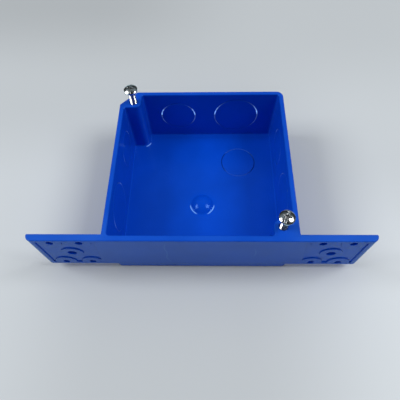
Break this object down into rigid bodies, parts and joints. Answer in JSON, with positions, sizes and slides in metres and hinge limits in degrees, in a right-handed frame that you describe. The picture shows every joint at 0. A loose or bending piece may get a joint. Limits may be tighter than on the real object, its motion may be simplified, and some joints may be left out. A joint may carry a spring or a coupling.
{
  "type": "two-gang electrical box",
  "caption": "Square moulded plastic wiring box with a nailing bracket along one side, round knockouts in its walls, and cover screws standing in opposite corners.",
  "frame": {"origin": "under the middle of the whole part, on the surface that the box's back lies on", "axes": "+X along the nailing bracket, +Y from the bracket to the rear wall, +Z out of the box's mouth"},
  "size_m": [0.1792, 0.1016, 0.0525],
  "materials": {
    "blue_plastic": "gloss",
    "plated_steel": "bright zinc plating"
  },
  "bodies": {
    "box": {"box_body": "blue_plastic"},
    "rear_screw": {"cover_screw_rear": "plated_steel"},
    "front_screw": {"cover_screw_front": "plated_steel"}
  },
  "joints": [
    {"name": "rear_screw_travel", "type": "slide", "parent": "box", "child": "rear_screw", "axis": [0, 0, 1], "range_m": [-0.0094, 0.0154]},
    {"name": "front_screw_travel", "type": "slide", "parent": "box", "child": "front_screw", "axis": [0, 0, 1], "range_m": [-0.0094, 0.0154]}
  ]
}
